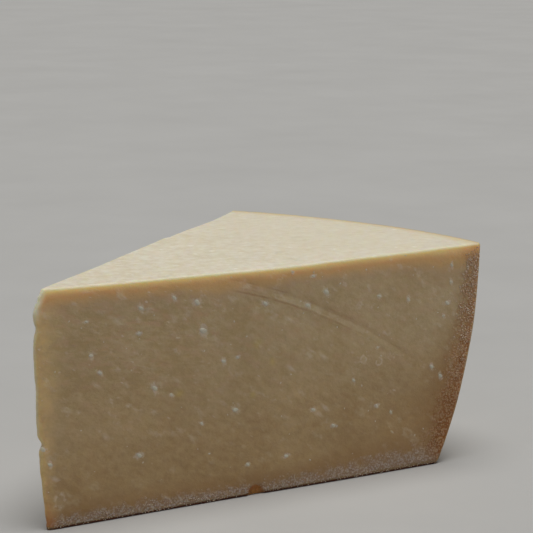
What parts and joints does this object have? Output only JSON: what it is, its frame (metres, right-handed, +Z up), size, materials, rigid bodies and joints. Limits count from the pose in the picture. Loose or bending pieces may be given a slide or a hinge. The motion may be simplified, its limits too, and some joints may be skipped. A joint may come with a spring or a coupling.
{
  "type": "wedge of aged hard cheese",
  "caption": "Wedge of hard aged grating cheese, a sector of the lower half of a drum-shaped wheel: level cut on top, two upright cuts, swelling rind at the wide end, flat rind below.",
  "frame": {"origin": "bottom centre of the wedge's box, on the surface that it stands on", "axes": "+X along the cut face that the picture shows, from the tip to the rind; that face looks along -Y; +Z up, from the wheel's flat face to the level cut"},
  "size_m": [0.2286, 0.1468, 0.1053],
  "materials": {
    "cheese_paste": "satin, slightly oily straw-coloured paste with pale crystals and a grainy tan rind"
  },
  "bodies": {
    "root": {"cheese_wedge": "cheese_paste"}
  },
  "joints": []
}
